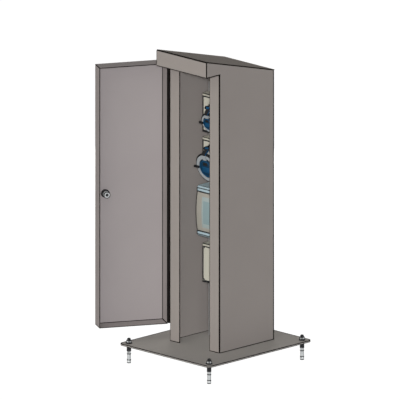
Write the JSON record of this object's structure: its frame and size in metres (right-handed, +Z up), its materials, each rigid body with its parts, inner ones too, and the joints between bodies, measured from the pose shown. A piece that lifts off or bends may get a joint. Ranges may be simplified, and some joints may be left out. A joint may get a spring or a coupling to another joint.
{
  "type": "electrical distribution cabinet",
  "caption": "Narrow sheet-steel power cabinet on an anchored base plate, with sloping visor, open pan door, blue socket outlets, a distribution unit and a junction box.",
  "frame": {"origin": "centre of the base plate's underside, the ground level between the four anchors", "axes": "+Z up, +X to the right seen from the front, -Y out of the front"},
  "size_m": [0.5374, 0.5852, 1.1528],
  "materials": {
    "paint": "grey powder coat",
    "zinc": "zinc plated steel",
    "dark_steel": "black finished steel",
    "cream_plastic": "cream moulded plastic",
    "grey_plastic": "light grey moulded plastic",
    "blue_plastic": "blue moulded plastic",
    "black_plastic": "black moulded plastic",
    "black_rubber": "black rubber",
    "brass": "plain brass",
    "cap_plastic": "blue-grey moulded plastic",
    "warm_plastic": "warm grey moulded plastic",
    "glazing": "tinted clear plastic glazing",
    "white_plastic": "white moulded plastic"
  },
  "bodies": {
    "cabinet": {"base_plate": "paint", "cabinet_wrap": "paint", "roof_visor": "paint", "header_rail": "paint", "anchor_studs": "zinc", "anchor_clips": "zinc", "anchor_washers": "zinc", "mounting_plate": "zinc", "mounting_stays": "zinc", "stay_bolts": "zinc", "stay_nuts": "zinc", "lid_pin_16": "zinc", "lid_pin_32": "zinc", "din_rail": "zinc", "anchor_nuts": "dark_steel", "hinge_frame_leaf": "dark_steel", "hinge_pin": "dark_steel", "socket_box_16": "cream_plastic", "socket_box_32": "cream_plastic", "junction_base": "cream_plastic", "junction_lid": "cream_plastic", "junction_screws": "cream_plastic", "socket_collar_16": "grey_plastic", "socket_collar_32": "grey_plastic", "socket_insert_16": "blue_plastic", "socket_insert_32": "blue_plastic", "socket_stud_16": "black_plastic", "socket_stud_32": "black_plastic", "lid_bracket_16": "black_plastic", "lid_bracket_32": "black_plastic", "cable_glands": "black_plastic", "cable_grommet": "black_rubber", "socket_contacts_16": "brass", "socket_contacts_32": "brass", "terminal_bars": "brass", "unit_base": "cap_plastic", "unit_cover": "cap_plastic", "junction_terminals": "warm_plastic", "rcd_body": "white_plastic", "mcb_body_1": "white_plastic", "mcb_body_2": "white_plastic"},
    "door": {"hinge_door_leaf": "dark_steel", "door_pan": "paint", "lock_housing": "zinc", "lock_nut": "dark_steel"},
    "lock_core": {"lock_spindle": "zinc"},
    "lid_small": {"socket_lid_16": "blue_plastic", "lid_seal_16": "black_rubber"},
    "lid_large": {"socket_lid_32": "blue_plastic", "lid_seal_32": "black_rubber"},
    "unit_front": {"unit_door": "warm_plastic", "unit_glazing": "glazing", "unit_door_pins": "zinc"},
    "lever_rcd": {"rcd_lever": "blue_plastic"},
    "lever_1": {"mcb_lever_1": "black_plastic"},
    "lever_2": {"mcb_lever_2": "black_plastic"},
    "button": {"test_button": "grey_plastic"}
  },
  "joints": [
    {"name": "door_hinge", "type": "hinge", "parent": "cabinet", "child": "door", "pos_m": [-0.1285, -0.10625, 0.54475], "axis": [0, 0, 1], "range_deg": [-60, 120]},
    {"name": "lock_turn", "type": "hinge", "parent": "door", "child": "lock_core", "pos_m": [-0.29239, -0.26162, 0.54475], "axis": [0.866, -0.5, 0], "range_deg": [0, 90]},
    {"name": "lid_small_hinge", "type": "hinge", "parent": "cabinet", "child": "lid_small", "pos_m": [0, -0.035, 0.869], "axis": [-1, 0, 0], "range_deg": [0, 95], "stiffness_Nm_per_rad": 0.02, "springref_deg": -20.05},
    {"name": "lid_large_hinge", "type": "hinge", "parent": "cabinet", "child": "lid_large", "pos_m": [0, -0.04, 0.721], "axis": [-1, 0, 0], "range_deg": [0, 95], "stiffness_Nm_per_rad": 0.03, "springref_deg": -20.05},
    {"name": "unit_front_hinge", "type": "hinge", "parent": "cabinet", "child": "unit_front", "pos_m": [0.0555, -0.0265, 0.4815], "axis": [0, 0, 1], "range_deg": [0, 95]},
    {"name": "lever_rcd_turn", "type": "hinge", "parent": "cabinet", "child": "lever_rcd", "pos_m": [-0.0202, -0.015, 0.4855], "axis": [1, 0, 0], "range_deg": [0, 50]},
    {"name": "lever_1_turn", "type": "hinge", "parent": "cabinet", "child": "lever_1", "pos_m": [0.0068, -0.015, 0.4855], "axis": [1, 0, 0], "range_deg": [0, 50]},
    {"name": "lever_2_turn", "type": "hinge", "parent": "cabinet", "child": "lever_2", "pos_m": [0.0248, -0.015, 0.4855], "axis": [1, 0, 0], "range_deg": [0, 50]},
    {"name": "button_push", "type": "slide", "parent": "cabinet", "child": "button", "axis": [0, 1, 0], "range_m": [0, 0.0015], "stiffness_N_per_m": 400}
  ]
}
